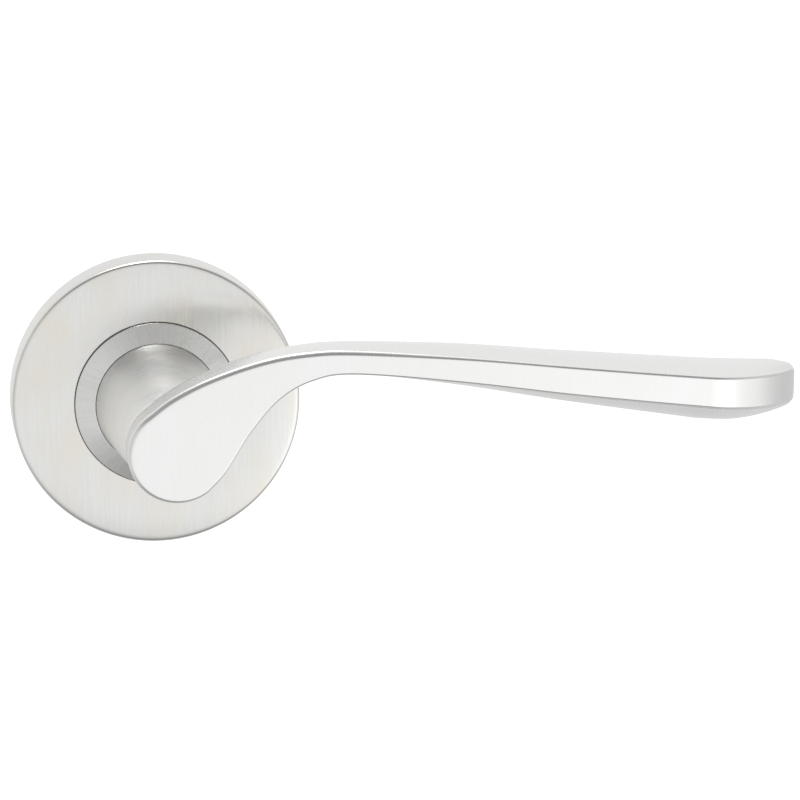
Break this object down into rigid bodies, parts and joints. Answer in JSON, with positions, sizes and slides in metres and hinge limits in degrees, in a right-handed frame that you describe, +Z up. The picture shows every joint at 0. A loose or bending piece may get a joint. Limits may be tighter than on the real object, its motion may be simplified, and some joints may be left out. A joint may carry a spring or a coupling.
{
  "type": "lever door handle on round rose",
  "caption": "Satin steel lever handle that turns in a round rose, with its sprung mounting plate, square spindle and through bolts for one side of a door.",
  "frame": {"origin": "where the spindle's axis crosses the door face, which is the flat back of the rose", "axes": "+X along the lever from the spindle to the grip, +Y into the door along the spindle, +Z up"},
  "size_m": [0.1705, 0.133, 0.065],
  "materials": {
    "lever_satin": "satin brushed stainless casting",
    "rose_satin": "satin brushed stainless sheet",
    "collar_satin": "turned satin stainless",
    "zinc_casting": "bare die-cast zinc alloy",
    "plated_steel": "zinc-plated steel",
    "spring_steel": "oiled spring steel",
    "black_steel": "blackened steel",
    "nylon": "natural moulded nylon"
  },
  "bodies": {
    "fixed": {"mounting_plate": "zinc_casting", "collar_ring": "collar_satin", "neck_bush": "nylon", "spring_retainer": "plated_steel", "retainer_screw_1": "plated_steel", "retainer_screw_2": "plated_steel", "retainer_screw_3": "plated_steel", "through_bolt_upper": "plated_steel", "through_bolt_lower": "plated_steel", "bolt_post_upper": "plated_steel", "bolt_post_lower": "plated_steel", "cover_clip_1": "spring_steel", "cover_clip_2": "spring_steel", "cover_clip_3": "spring_steel", "stop_pin": "plated_steel", "return_spring": "spring_steel"},
    "lever": {"lever": "lever_satin", "grub_screw": "black_steel", "spindle": "plated_steel", "spring_cam": "plated_steel", "thrust_washer": "plated_steel", "circlip": "black_steel"},
    "cover": {"rose_cover": "rose_satin"}
  },
  "joints": [
    {"name": "lever_turn", "type": "hinge", "parent": "fixed", "child": "lever", "pos_m": [0, 0, 0], "axis": [0, 1, 0], "range_deg": [0, 45], "stiffness_Nm_per_rad": 0.4, "springref_deg": -57.3, "deforming": ["return_spring"]},
    {"name": "cover_slide", "type": "slide", "parent": "fixed", "child": "cover", "axis": [0, -1, 0], "range_m": [0, 0.03]}
  ]
}
